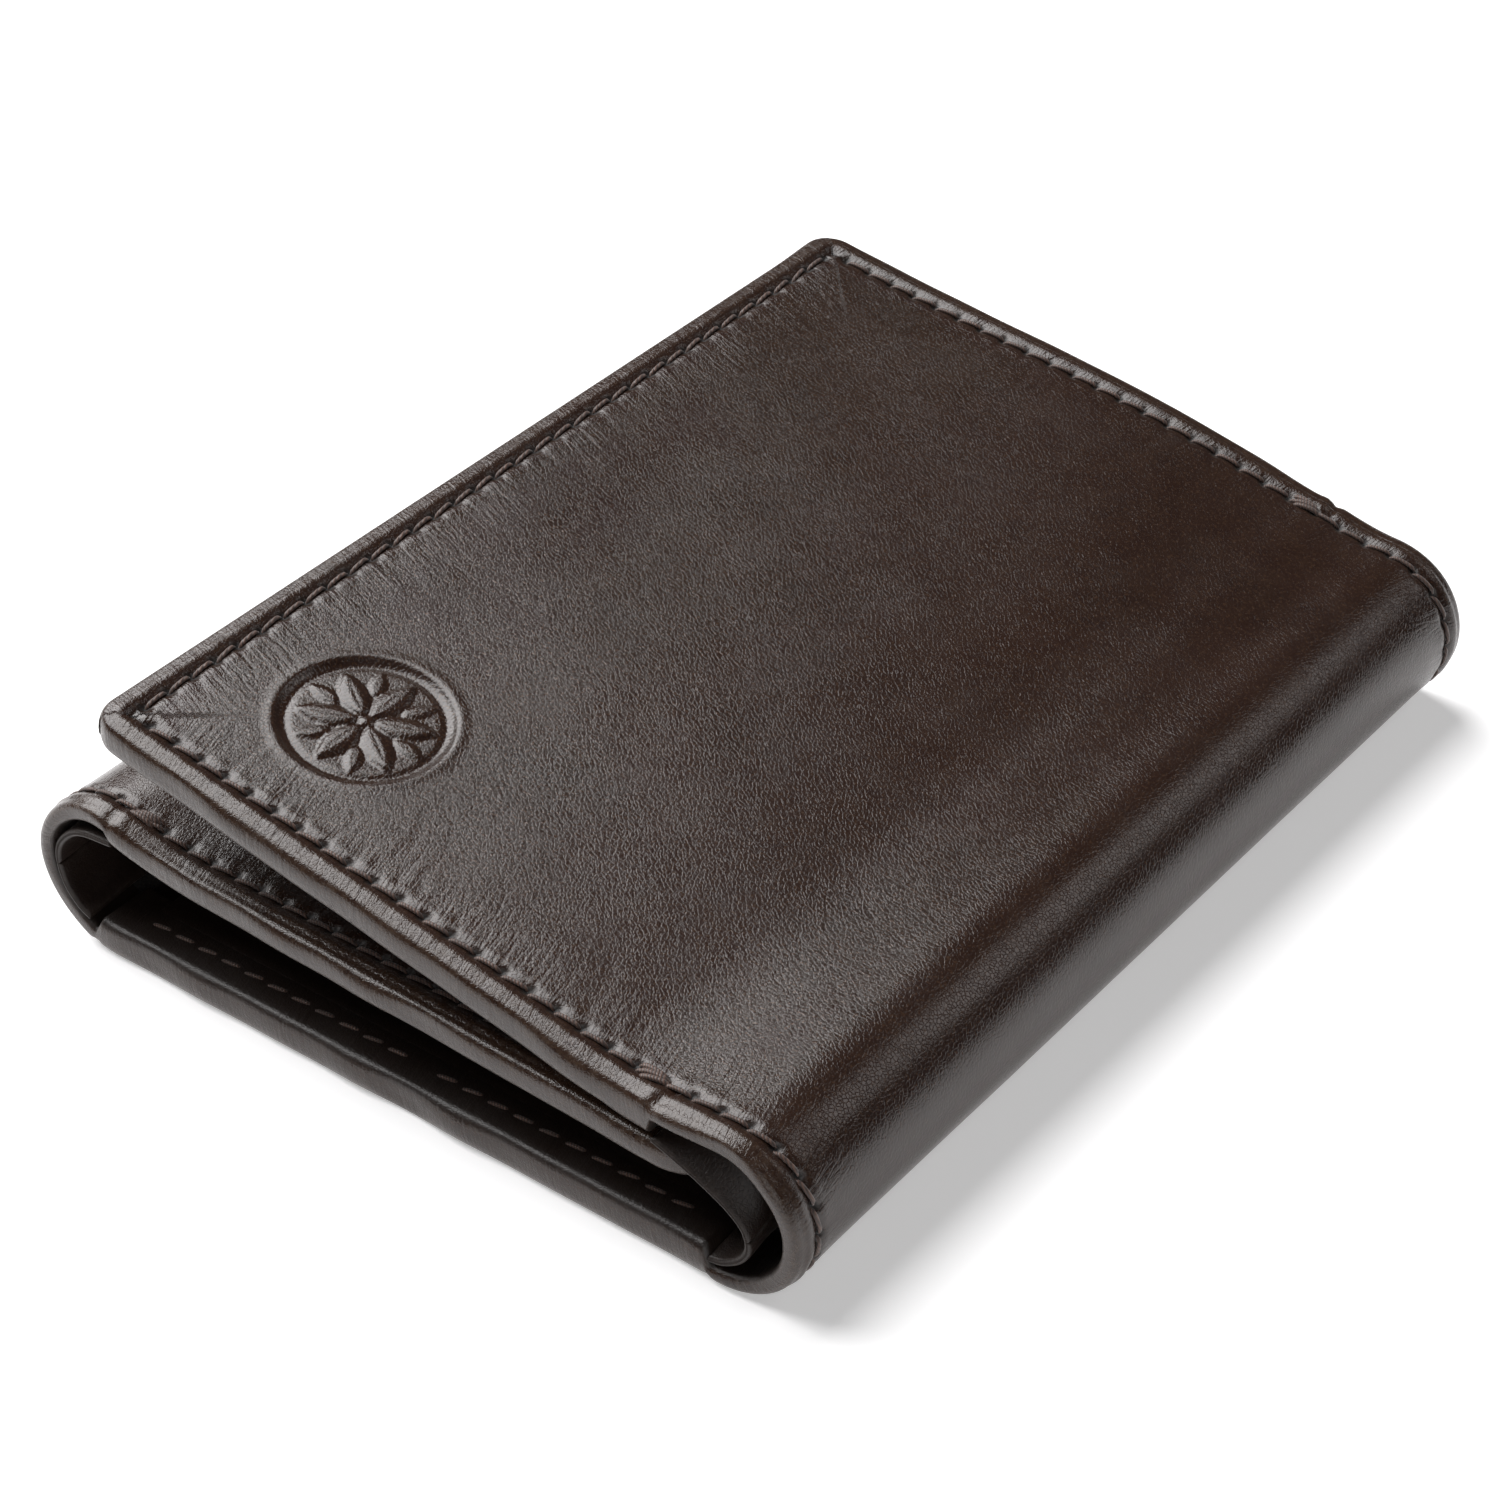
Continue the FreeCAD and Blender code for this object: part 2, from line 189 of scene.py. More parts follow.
class Profile:
    """The leather's outer face seen along the folds, from runs of (length, turn in degrees)."""

    arched = False

    def __init__(self, start, heading, outward, runs):
        bends = []
        for length, turn in runs:
            count = max(1, round(length / PROFILE_STEP))
            bends.append(np.full(count, math.radians(turn) / (count * PROFILE_STEP)))
        bends = np.concatenate(bends)
        reach = round(PROFILE_SMOOTHING / PROFILE_STEP)
        window = np.full(2 * reach + 1, 1 / (2 * reach + 1))
        bends = np.convolve(np.pad(bends, reach, mode="edge"), window, mode="valid")
        self.heading = math.radians(heading) + np.append(0, np.cumsum(bends)) * PROFILE_STEP
        between = (self.heading[1:] + self.heading[:-1]) / 2
        self.u = np.arange(len(self.heading)) * PROFILE_STEP
        self.x = start[0] + np.append(0, np.cumsum(np.cos(between))) * PROFILE_STEP
        self.z = start[1] + np.append(0, np.cumsum(np.sin(between))) * PROFILE_STEP
        self.outward = outward
        self.length = float(self.u[-1])

    def normal(self, u):
        heading = np.interp(u, self.u, self.heading)
        return self.outward * np.sin(heading), -self.outward * np.cos(heading)

    def at(self, u, y, depth):
        """Points of the model, in an array whose last axis is X, Y, Z."""
        u, y, depth = np.broadcast_arrays(*(np.asarray(v, float) for v in (u, y, depth)))
        nx, nz = self.normal(u)
        x = np.interp(u, self.u, self.x) - nx * depth
        z = np.interp(u, self.u, self.z) - nz * depth
        if self.arched:
            z = z + back_arch(x, y, z)
        return np.stack([x, y, z], axis=-1)

    def u_at_x(self, x):
        """Where the profile crosses this X on its run away from the fold."""
        run = np.abs(self.x) < HALF_WIDTH - FOLD_CLEARANCE
        order = np.argsort(self.x[run])
        return float(np.interp(x, self.x[run][order], self.u[run][order]))


def tangent_length(radius, turn):
    return radius * math.tan(math.radians(turn) / 2)


def cover_profile():
    """Right fold's middle, over its top, level for a few millimetres, then up the sprung flap."""
    slope = math.tan(math.radians(COVER_TILT))
    top = 2 * RIGHT_RADIUS
    meet = COVER_END[0] - (top - COVER_END[1]) / slope
    ease = tangent_length(COVER_BEND_RADIUS, COVER_TILT)
    level = RIGHT_CENTRE - meet - ease
    end_x = meet - ease * math.cos(math.radians(COVER_TILT))
    incline = (end_x - COVER_FREE_EDGE) / math.cos(math.radians(COVER_TILT))
    arc = math.radians(90) * RIGHT_RADIUS
    bend = math.radians(COVER_TILT) * COVER_BEND_RADIUS
    runs = [(arc, 90), (level, 0), (bend, -COVER_TILT), (incline, 0)]
    return Profile((HALF_WIDTH, RIGHT_RADIUS), 90, 1, runs)


def middle_profile():
    """Left fold's middle, over its top, down onto the middle flap, along it to its free edge."""
    down = MIDDLE_OVER - 90
    slope_down, slope = math.tan(math.radians(down)), math.tan(math.radians(MIDDLE_TILT))
    x = LEFT_CENTRE + LEFT_RADIUS * math.sin(math.radians(down))
    z = LEFT_RADIUS + LEFT_RADIUS * math.cos(math.radians(down))
    panel_z = MIDDLE_START[1] - (x - MIDDLE_START[0]) * slope
    meet = x + (z - panel_z) / (slope_down - slope)
    to_meet = (meet - x) / math.cos(math.radians(down))
    ease = to_meet * MIDDLE_EASE
    turn = down - MIDDLE_TILT
    bend_radius = ease / math.tan(math.radians(turn) / 2)
    end_x = meet + ease * math.cos(math.radians(MIDDLE_TILT))
    run = (MIDDLE_TIP - end_x) / math.cos(math.radians(MIDDLE_TILT))
    runs = [
        (math.radians(MIDDLE_OVER) * LEFT_RADIUS, -MIDDLE_OVER),
        (to_meet - ease, 0),
        (math.radians(turn) * bend_radius, turn),
        (run, 0),
    ]
    return Profile((-HALF_WIDTH, LEFT_RADIUS), 90, -1, runs)


def center_profile(side):
    """A fold's middle, round its bottom, along the centre panel to the middle of the wallet."""
    radius = RIGHT_RADIUS if side > 0 else LEFT_RADIUS
    runs = [(math.radians(90) * radius, -side * 90), (HALF_WIDTH - radius, 0)]
    return Profile((side * HALF_WIDTH, radius), -90, -side, runs)


COVER, MIDDLE = cover_profile(), middle_profile()
COVER.arched = True
RIGHT_HALF, LEFT_HALF = center_profile(1), center_profile(-1)

# Way along the whole shell leather, from the cover's free edge to the middle flap's, for its grain
SHELL_START = {COVER: 0.0, RIGHT_HALF: 0.0}
SHELL_START[LEFT_HALF] = RIGHT_HALF.length + LEFT_HALF.length
SHELL_START[MIDDLE] = SHELL_START[LEFT_HALF]
SHELL_SIGN = {COVER: -1, RIGHT_HALF: 1, LEFT_HALF: -1, MIDDLE: 1}


def shell_way(profile, u):
    return SHELL_START[profile] + SHELL_SIGN[profile] * np.asarray(u, float)


# Turned edge


def unit_roll():
    """Section of a turned edge at even steps along it: offset from the edge and depth, both 0 to 1."""
    turn = np.linspace(0, math.pi, 721)
    power = 2 / EDGE_FLATNESS
    offset = 1 - np.abs(np.sin(turn)) ** power
    depth = (1 - np.sign(np.cos(turn)) * np.abs(np.cos(turn)) ** power) / 2
    steps = np.hypot(np.diff(offset) * EDGE_OUTSET, np.diff(depth) * COVER_THICKNESS)
    way = np.append(0, np.cumsum(steps))
    return way / way[-1], offset, depth


ROLL_WAY, ROLL_OFFSET, ROLL_DEPTH = unit_roll()


def edge_section(d):
    """Offset from the edge, and share of the thickness, at distance d inside it, along the leather."""
    way = (EDGE_OUTSET - d) / ROLL_LENGTH
    rolled = np.interp(way, ROLL_WAY, ROLL_OFFSET) * EDGE_OUTSET
    offset = np.where(way < 0, d, rolled)
    offset = np.where(way > 1, EDGE_OUTSET + (way - 1) * ROLL_LENGTH, offset)
    return offset, np.interp(way, ROLL_WAY, ROLL_DEPTH)


def plan(x, y, corner):
    """Offsets from the free edge and the long edge for grid distances x and y, with each point's ring."""
    d, apart = np.minimum(x, y), np.abs(x - y)
    offset, share = edge_section(d)
    under = d < EDGE_OUTSET - ROLL_LENGTH
    radius = np.maximum(corner - offset, np.where(under, HEM_CORNER, 0))
    centre = offset + radius
    straight = np.maximum(centre - d, 1e-6)
    turn = math.radians(45) * np.clip(1 - apart / straight, 0, 1)
    near = centre - radius * np.cos(turn)
    along = np.where(apart >= straight, np.maximum(x, y), centre - radius * np.sin(turn))
    free_is_near = x <= y
    return np.where(free_is_near, near, along), np.where(free_is_near, along, near), d, share, free_is_near


def spaced(start, end, step):
    count = max(1, round(abs(end - start) / step))
    return np.linspace(start, end, count + 1)


def joined(*parts):
    """Rising values from several spans, each point once."""
    values = np.sort(np.concatenate(parts))
    keep = np.append(True, np.diff(values) > 1e-4)
    return values[keep]


UNDER_START = EDGE_OUTSET - ROLL_LENGTH
EDGE_POINTS = joined(
    spaced(UNDER_START - HEM, UNDER_START, HEM_STEP),
    spaced(UNDER_START, EDGE_OUTSET, ROLL_STEP),
    spaced(EDGE_OUTSET, EDGE_ZONE, EDGE_STEP),
)


# Surface of the leather: seams, puckers, wrinkles, gentle waves and the ornament


def bell(distance, width):
    """1 at no distance, and close to 0 at twice the width."""
    return np.exp(-((distance / width) ** 2))


def waves(a, b, wavelength, count, seed):
    """Smooth seeded noise of about unit size."""
    random = np.random.default_rng(seed)
    total = np.zeros(np.broadcast(a, b).shape)
    for _ in range(count):
        angle, phase = random.uniform(0, 2 * math.pi, 2)
        rate = 2 * math.pi / (wavelength * random.uniform(0.7, 1.5))
        total += np.cos(rate * (a * math.cos(angle) + b * math.sin(angle)) + phase)
    return total * math.sqrt(2 / count)


def seam_marks(across, along):
    """Height near a seam: a groove, a dimple at each hole and puckers between them."""
    beat = along / STITCH_PITCH
    from_hole = (beat - np.round(beat)) * STITCH_PITCH
    groove = -GROOVE_DEPTH * bell(across, GROOVE_WIDTH)
    hole = -HOLE_DEPTH * bell(across - 0.15, HOLE_WIDTH) * bell(from_hole, HOLE_LENGTH)
    puff = 0.05 * bell(np.abs(across) - 0.95, 0.5) * (0.5 - 0.5 * np.cos(2 * math.pi * beat))
    return groove + hole + puff


def past_seam(offset):
    """0 between an edge and its seam, and 1 from the seam inwards."""
    return ramp(offset, SEAM_INSET - 0.7, SEAM_INSET - 0.1)


def wrinkles(across, along, seed, strength):
    """Fine creases that run inwards from a seam and die out."""
    reach = 3.2 + 1.6 * waves(along, 0 * along, 14.0, 5, seed + 1)
    fade = ramp(across, 0.3, 1.3) * np.exp(-np.maximum(across, 0) / np.maximum(reach, 1.0))
    lean = along + 0.22 * across + 0.3 * waves(along, across, 7.0, 6, seed + 2)
    lines = waves(lean, 0 * lean, 1.15, 10, seed + 3)
    patch = smooth(0.5 + 0.5 * waves(along, across, 9.0, 6, seed + 4))
    return strength * fade * (0.35 + 0.65 * patch) * lines


# Petals in two rings of six: length, start, half width, height, and turn in sixths of a round
PETALS = ((5.9, 0.75, 1.28, 0.40, 0.0), (6.1, 3.1, 0.72, 0.27, 0.5))
FIELD_RADIUS, FIELD_DEPTH = 7.4, 0.42


def petal_relief(a, b, angle, length, start, width, height):
    """Height of one petal with a vein along its middle."""
    x = a * math.cos(angle) + b * math.sin(angle)
    y = -a * math.sin(angle) + b * math.cos(angle)
    t = np.clip((x - start) / (length - start), 0, 1)
    half = width * np.sin(math.pi * t ** 0.85) ** 0.8
    body = np.clip(1 - np.abs(y) / np.maximum(half, 1e-3), 0, 1)
    vein = 0.10 * bell(y, 0.16)
    return np.where((x > start) & (x < length), height * body ** 0.45 - vein * body, 0)


def ornament(a, b):
    """A pressed round field with a plain six-petalled rosette; a and b are from its centre."""
    r = np.hypot(a, b)
    field = 1 - ramp(r, FIELD_RADIUS - 0.35, FIELD_RADIUS + 0.25)
    rim = 0.06 * bell(r - FIELD_RADIUS - 0.5, 0.5)
    groove = -0.16 * bell(r - FIELD_RADIUS + 0.75, 0.3)
    relief = 0.34 * np.sqrt(np.clip(1 - (r / 0.72) ** 2, 0, 1))
    for k in range(6):
        for length, start, width, height, offset in PETALS:
            angle = math.radians(60 * (k + offset) + 90)
            relief = np.maximum(relief, petal_relief(a, b, angle, length, start, width, height))
    return -FIELD_DEPTH * field + rim + groove + relief * field, field


def to_mesh(name, points, faces):
    mesh = bpy.data.meshes.new(name)
    mesh.from_pydata((np.asarray(points) * MM).tolist(), [], faces)
    mesh.validate()
    mesh.update()
    mesh.polygons.foreach_set("use_smooth", np.ones(len(mesh.polygons), bool))
    made = bpy.data.objects.new(name, mesh)
    bpy.context.scene.collection.objects.link(made)
    return made


def grid_faces(rows, columns, flip=False):
    """Quads of a grid whose points are numbered row by row."""
    start = np.arange(rows - 1)[:, None] * columns + np.arange(columns - 1)[None, :]
    quads = np.stack([start, start + 1, start + columns + 1, start + columns], axis=-1).reshape(-1, 4)
    return (quads[:, ::-1] if flip else quads).tolist()


def add_attribute(made, name, values):
    layer = made.data.attributes.new(name, "FLOAT", "POINT")
    layer.data.foreach_set("value", np.asarray(values, np.float32).ravel())


def add_uv(made, u, v):
    """Texture coordinates in millimetres along the leather."""
    layer = made.data.uv_layers.new(name="leather")
    index = np.zeros(len(made.data.loops), np.int64)
    made.data.loops.foreach_get("vertex_index", index)
    pair = np.stack([np.ravel(u)[index], np.ravel(v)[index]], axis=-1)
    layer.data.foreach_set("uv", pair.astype(np.float32).ravel())


TOP_SHARE = 0.02  # of an edge's thickness, within which a point still faces outwards


class Skin:
    """Outer leather with turned edges, from a fold's middle to a free edge or the centre panel's middle."""

    def __init__(self, part, name, profile, bodies, notch_x, thickness, seed, corner=CORNER_RADIUS,
                 ornament_at=None):
        self.part, self.name, self.profile, self.bodies = part, name, profile, bodies
        self.notch, self.thickness = profile.u_at_x(notch_x), thickness
        self.seed, self.corner, self.ornament_at = seed, corner, ornament_at
        self.free = bodies[1] != "center"
        self.radius = RIGHT_RADIUS if bodies[0] == "right_spine" else LEFT_RADIUS

    def nodes(self, kind):
        """CAD nodes that a piece of this stretch stands for."""
        spine, panel = self.bodies
        return (f"{panel}_{kind}", f"{spine}_{kind}") if self.free else (f"{panel}_{kind}",)

    def blend(self, made):
        """Bakes a piece's place into its mesh; the ends of the fold's bend are worked out, but the piece is
        not bent.
        """
        angles = (math.radians(BEND_FROM), math.radians(BEND_TO))
        start, end = (tuple(self.profile.at(angle * self.radius, 0.0, 0.0) * MM) for angle in angles)
        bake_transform(made)

    def edge_thickness(self, u):
        """Thickness of the turned edge: thin over the fold, full past the notch."""
        full = self.thickness
        if self.profile is COVER:
            full = full + COVER_NOTCH_GAIN * (1 - ramp(u, self.notch + 2.5, self.notch + 5.0))
        return STRIP_THICKNESS + (full - STRIP_THICKNESS) * ramp(u, self.notch, self.notch + NOTCH_STEP)

    def with_ornament(self, values, axis):
        """The values, with closer ones in their place across the ornament."""
        if self.ornament_at is None:
            return [values]
        centre = self.ornament_at[axis]
        fine = spaced(centre - ORNAMENT_REACH, centre + ORNAMENT_REACH, ORNAMENT_STEP)
        clear = (values < fine.min() - ORNAMENT_GAP) | (values > fine.max() + ORNAMENT_GAP)
        return [values[clear], fine]

    def rows(self):
        """Places along the profile, past its end where the free edge turns under."""
        length, close = self.profile.length, [0.0, CLOSE_ROW]
        if not self.free:
            return joined(close, spaced(GRID_START, length - CLOSE_ROW, ROW_STEP), [length])
        flat = spaced(GRID_START, length - EDGE_ZONE, ROW_STEP)
        return joined(close, *self.with_ornament(flat, 0), length - EDGE_POINTS)

    def columns(self):
        """Distances from the front edge, past both edges where they turn under."""
        inner = spaced(EDGE_ZONE, SPAN - EDGE_ZONE, COLUMN_STEP)
        return joined(EDGE_POINTS, SPAN - EDGE_POINTS, *self.with_ornament(inner, 1))

    def build(self):
        length = self.profile.length
        along, across = np.meshgrid(self.rows(), self.columns(), indexing="ij")
        from_free = length - along if self.free else np.full_like(along, 1e3)
        at_back = across > SPAN / 2
        from_edge = np.where(at_back, SPAN - across, across)
        off_free, off_edge, ring, share, free_is_near = plan(from_free, from_edge, self.corner)
        u = length - off_free if self.free else along
        y = np.where(at_back, BACK - off_edge, FRONT + off_edge)

        full = self.edge_thickness(u)
        thin = np.minimum(full, BACK_EDGE_THICKNESS)
        at_corner = thin + (full - thin) * ramp(off_edge, 3.0, 9.0) * free_is_near
        thickness = np.where(at_back, at_corner, full)

        lift, sewn, field = self.relief(u, y, ring, share, off_free, off_edge)
        points = self.profile.at(u, y, share * thickness - lift)
        outwards = np.where(free_is_near, 0, np.where(at_back, 1.0, -1.0))
        points[..., 1] += outwards * self.unevenness(u, y, share)
        faces = grid_faces(*along.shape, self.profile.outward < 0)
        made = to_mesh(self.name, points.reshape(-1, 3), faces)
        way = shell_way(self.profile, along)
        add_uv(made, way, across)
        edge_wear = bell(share - 0.18, 0.22) + 0.5 * bell(share - 0.85, 0.2)
        add_attribute(made, "wear", np.where(ring < EDGE_OUTSET + 0.9, edge_wear, 0.0))
        add_attribute(made, "ring", ring)
        add_attribute(made, "along", np.where(free_is_near, y, way))
        add_attribute(made, "inside", ramp(share, 0.72, 0.98))
        add_attribute(made, "pressed", field)
        add_attribute(made, "sewn", sewn * (share < TOP_SHARE))
        return made

    def unevenness(self, u, y, share):
        """How far the turned edges stand out from their straight lines."""
        way = shell_way(self.profile, u)
        return 0.10 * waves(way, y, 9.0, 8, SEED + 50) * np.sin(math.pi * np.clip(share, 0, 1))

    def relief(self, u, y, ring, share, off_free, off_edge):
        """Height of the surface over its plain form, where it is sewn, and where it is pressed."""
        way = shell_way(self.profile, u)
        on_top = share < TOP_SHARE
        lift = 0.035 * waves(way, y, 34.0, 9, SEED) + 0.009 * waves(way, y, 11.0, 9, SEED + 1)
        lift = lift * ramp(ring, EDGE_OUTSET, 9.0) * (0.25 + 0.75 * ramp(u, 8.0, 20.0))
        along_side = past_seam(off_free) if self.free else np.ones_like(u)
        seams = [(off_edge, way, along_side, self.seed, SIDE_CREASES)]
        sewn = along_side
        if self.free:
            along_end = past_seam(off_edge)
            seams.append((off_free, y, along_end, self.seed + 20, END_CREASES))
            sewn = np.where(off_free < off_edge, along_end, along_side)
        for offset, place, here, seed, crease_height in seams:
            marks = seam_marks(offset - SEAM_INSET, place)
            creases = wrinkles(offset - SEAM_INSET, place, SEED + seed, crease_height)
            lift = lift + np.where(on_top, here, 0) * (marks + creases)
        bead = 0.14 * bell(ring - 1.5, 0.65) * ramp(ring, EDGE_OUTSET - 0.01, EDGE_OUTSET + 0.5)
        lift = lift + np.where(on_top, bead, 0) + self.pleat(u, ring)
        field = np.zeros_like(u)
        if self.ornament_at is not None:
            a, b = self.ornament_at[0] - u, y - (FRONT + self.ornament_at[1])
            pressed, field = ornament(a, b)
            lift = np.where(np.hypot(a, b) < ORNAMENT_REACH + 0.2, lift * (1 - field) + pressed, lift)
        if not self.free:
            lying = ramp(u, 8.0, 12.0) * (share < 0.4)
            lift = np.where(lift > 0, lift * (1 - lying), lift)
        return lift, sewn, field

    def pleat(self, u, ring):
        """The pinch where the turned edge narrows at a notch, from the notch up to the bar tack."""
        centre = self.notch + 0.1 - 0.5 * ramp(ring, -1.0, 2.6)
        reach = ramp(ring, -1.6, -0.6) * (1 - ramp(ring, 2.2, 3.4))
        return (0.12 * bell(u - centre - 1.0, 0.6) - 0.30 * bell(u - centre, 0.42)) * reach


ORNAMENT_AT = (COVER.length - ORNAMENT_FROM_EDGES[0], ORNAMENT_FROM_EDGES[1])
SKINS = (
    Skin("cover_flap", "cover_flap_leather", COVER, ("right_spine", "cover_flap"), COVER_NOTCH,
         COVER_THICKNESS, 100, ornament_at=ORNAMENT_AT),
    Skin("middle_flap", "middle_flap_leather", MIDDLE, ("left_spine", "middle_flap"), MIDDLE_START[0],
         MIDDLE_THICKNESS, 200, corner=MIDDLE_CORNER),
    Skin("center_right", "center_leather_right", RIGHT_HALF, ("right_spine", "center"), CENTER_RIGHT,
         CENTER_THICKNESS, 300),
    Skin("center_left", "center_leather_left", LEFT_HALF, ("left_spine", "center"), CENTER_LEFT,
         CENTER_THICKNESS, 400),
)


# Threads


def stitch_points(centre, forward, side, up, length, radius, rise):
    """One stitch: a short bowed thread whose two ends dip into their holes."""
    turn = np.arange(STITCH_SIDES) * 2 * math.pi / STITCH_SIDES
    stations = np.linspace(-1, 1, STITCH_STATIONS)
    lift = rise * (1 - stations ** 2) - THREAD_SINK - 0.30 * np.abs(stations) ** 5
    girth = radius * np.sqrt(np.clip(1 - (np.abs(stations) ** 6) * 0.75, 0.05, 1))
    points = []
    for t, height, r in zip(stations, lift, girth):
        middle = centre + forward * (t * length / 2) + up * height + side * (0.21 * t * radius)
        points.append(middle + np.outer(np.cos(turn) * r * 1.1, side) + np.outer(np.sin(turn) * r * 0.8, up))
    return np.concatenate(points)


def stitch_faces(start):
    """Faces of a stitch whose first point has the number start."""
    faces = []
    for i in range(STITCH_STATIONS - 1):
        for j in range(STITCH_SIDES):
            a = start + i * STITCH_SIDES + j
            b = start + i * STITCH_SIDES + (j + 1) % STITCH_SIDES
            faces.append((a, b, b + STITCH_SIDES, a + STITCH_SIDES))
    last = start + (STITCH_STATIONS - 1) * STITCH_SIDES
    faces.append(tuple(start + j for j in reversed(range(STITCH_SIDES))))
    faces.append(tuple(last + j for j in range(STITCH_SIDES)))
    return faces


class Thread:
    """Stitches gathered into one mesh, each placed on a profile's outer or inner face."""

    def __init__(self, name, profile):
        self.name, self.profile = name, profile
        self.points, self.faces = [], []
        self.random = np.random.default_rng(SEED + len(name))

    def add(self, u, y, du, dy, length=STITCH_LENGTH, radius=STITCH_RADIUS, rise=THREAD_RISE,
            depth=0.0, inner=False):
        """One stitch at u and y, in the direction du and dy."""
        here = self.profile.at(u, y, depth)
        ahead = self.profile.at(u + du * 0.5, y + dy * 0.5, depth)
        forward = (ahead - here) / np.linalg.norm(ahead - here)
        nx, nz = self.profile.normal(u)
        up = np.array([nx, 0, nz]) * (-1 if inner else 1)
        slant = self.random.normal(0.10, 0.03)
        forward = forward * math.cos(slant) + np.cross(up, forward) * math.sin(slant)
        self.faces += stitch_faces(len(self.points) * STITCH_SIDES * STITCH_STATIONS)
        self.points.append(stitch_points(here, forward, np.cross(up, forward), up, length, radius, rise))

    def along_profile(self, u0, u1, y, **more):
        """Stitches between the holes of a seam that runs along the profile."""
        sign, start = SHELL_SIGN[self.profile], SHELL_START[self.profile]
        low, high = sorted((start + sign * u0, start + sign * u1))
        for k in range(math.ceil(low / STITCH_PITCH), math.floor(high / STITCH_PITCH)):
            self.add(((k + 0.5) * STITCH_PITCH - start) * sign, y, 1, 0, **more)

    def along_edge(self, u, y0, y1, **more):
        for k in range(math.ceil(y0 / STITCH_PITCH), math.floor(y1 / STITCH_PITCH)):
            self.add(u, (k + 0.5) * STITCH_PITCH, 0, 1, **more)

    def tack(self, u, y, depth):
        """Threads laid side by side over the seam's end at a fold."""
        for k, shift in enumerate((-0.30, 0.12, 0.48)):
            self.add(u + 0.25 * k, y + shift, 1, 0.12 * (k - 1), TACK_LENGTH, TACK_RADIUS, TACK_RISE, depth)

    def build(self):
        points = np.concatenate(self.points)
        made = to_mesh(self.name, points, self.faces)
        add_uv(made, points[:, 0] * 2 + points[:, 2], points[:, 1])
        return made


# Thin sheets that follow a profile: linings, facings, pockets, inner strips

FAR_FROM_SEAMS = 20.0


def sheet_piece(name, profile, u_span, y_span, depths, soft, lip=False, wave=0.0, seed=0, step=0.8):
    """A closed sheet with rounded edges, and with a lip, a turned edge at its mouth.

    Its depths are those of its outer and inner face, or a function that gives both at u.
    """
    near = soft * np.array([0, 0.12, 0.35, 0.65, 1.0])
    u0, u1 = u_span
    y0, y1 = y_span
    us = joined(u0 + near, u1 - near, spaced(u0 + soft, u1 - soft, step))
    ys = joined(y0 + near, y1 - near, spaced(y0 + soft, y1 - soft, step))
    if lip:
        ys = joined(ys, spaced(y1 - 3.2, y1, 0.16))
    u, y = np.meshgrid(us, ys, indexing="ij")
    outer_depth, inner_depth = depths(u) if callable(depths) else depths
    edge = np.minimum(np.minimum(u - u0, u1 - u), np.minimum(y - y0, y1 - y))
    fall = 1 - np.sqrt(np.clip(1 - (1 - np.clip(edge / soft, 0, 1)) ** 2, 0, 1))
    middle, half = (inner_depth + outer_depth) / 2, (inner_depth - outer_depth) / 2
    swell = wave * waves(u, y, 24.0, 8, seed) * ramp(edge, 0, 6)
    if lip:
        from_mouth = y1 - y
        swell = swell + 0.05 * ramp(2.2 - from_mouth, 0, 0.3) - 0.07 * bell(from_mouth - 2.3, 0.25)
    inner = profile.at(u, y, middle + half * (1 - fall) + swell)
    outer = profile.at(u, y, middle - half * (1 - fall))
    rows, columns = u.shape
    count = rows * columns
    flip = profile.outward > 0
    faces = grid_faces(rows, columns, flip)
    faces += (np.array(grid_faces(rows, columns, not flip)) + count).tolist()
    border = list(range(columns)) + [r * columns + columns - 1 for r in range(1, rows)]
    border += [(rows - 1) * columns + c for c in range(columns - 2, -1, -1)]
    border += [r * columns for r in range(rows - 2, 0, -1)]
    for a, b in zip(border, border[1:] + border[:1]):
        faces.append((a, b, b + count, a + count) if not flip else (b, a, a + count, b + count))
    points = np.concatenate([inner.reshape(-1, 3), outer.reshape(-1, 3)])
    made = to_mesh(name, points, faces)
    add_uv(made, np.tile(u.ravel(), 2) + 300 + seed * 13, np.tile(y.ravel(), 2))
    add_attribute(made, "wear", np.tile(bell(edge, 0.5).ravel(), 2))
    add_attribute(made, "ring", np.full(len(points), FAR_FROM_SEAMS))
    for label in ("along", "inside", "pressed", "sewn"):
        add_attribute(made, label, np.zeros(len(points)))
    return made


class Curve2D:
    """A smooth line in X and Z through a few points, with the same calls as a Profile."""

    arched = False

    def __init__(self, points, outward):
        points = np.asarray(points, float)
        padded = np.vstack([2 * points[0] - points[1], points, 2 * points[-1] - points[-2]])
        line = []
        for k in range(len(points) - 1):
            p0, p1, p2, p3 = padded[k:k + 4]
            for t in np.linspace(0, 1, 60, endpoint=False):
                line.append(0.5 * (2 * p1 + (p2 - p0) * t + (2 * p0 - 5 * p1 + 4 * p2 - p3) * t ** 2
                                   + (3 * p1 - p0 - 3 * p2 + p3) * t ** 3))
        line.append(points[-1])
        line = np.array(line)
        self.u = np.append(0, np.cumsum(np.hypot(*np.diff(line, axis=0).T)))
        self.x, self.z = line.T
        self.tangent = np.gradient(line, self.u, axis=0)
        self.outward = outward
        self.length = float(self.u[-1])

    def normal(self, u):
        tx, tz = (np.interp(u, self.u, self.tangent[:, k]) for k in (0, 1))
        size = np.hypot(tx, tz)
        return self.outward * tz / size, -self.outward * tx / size

    at = Profile.at


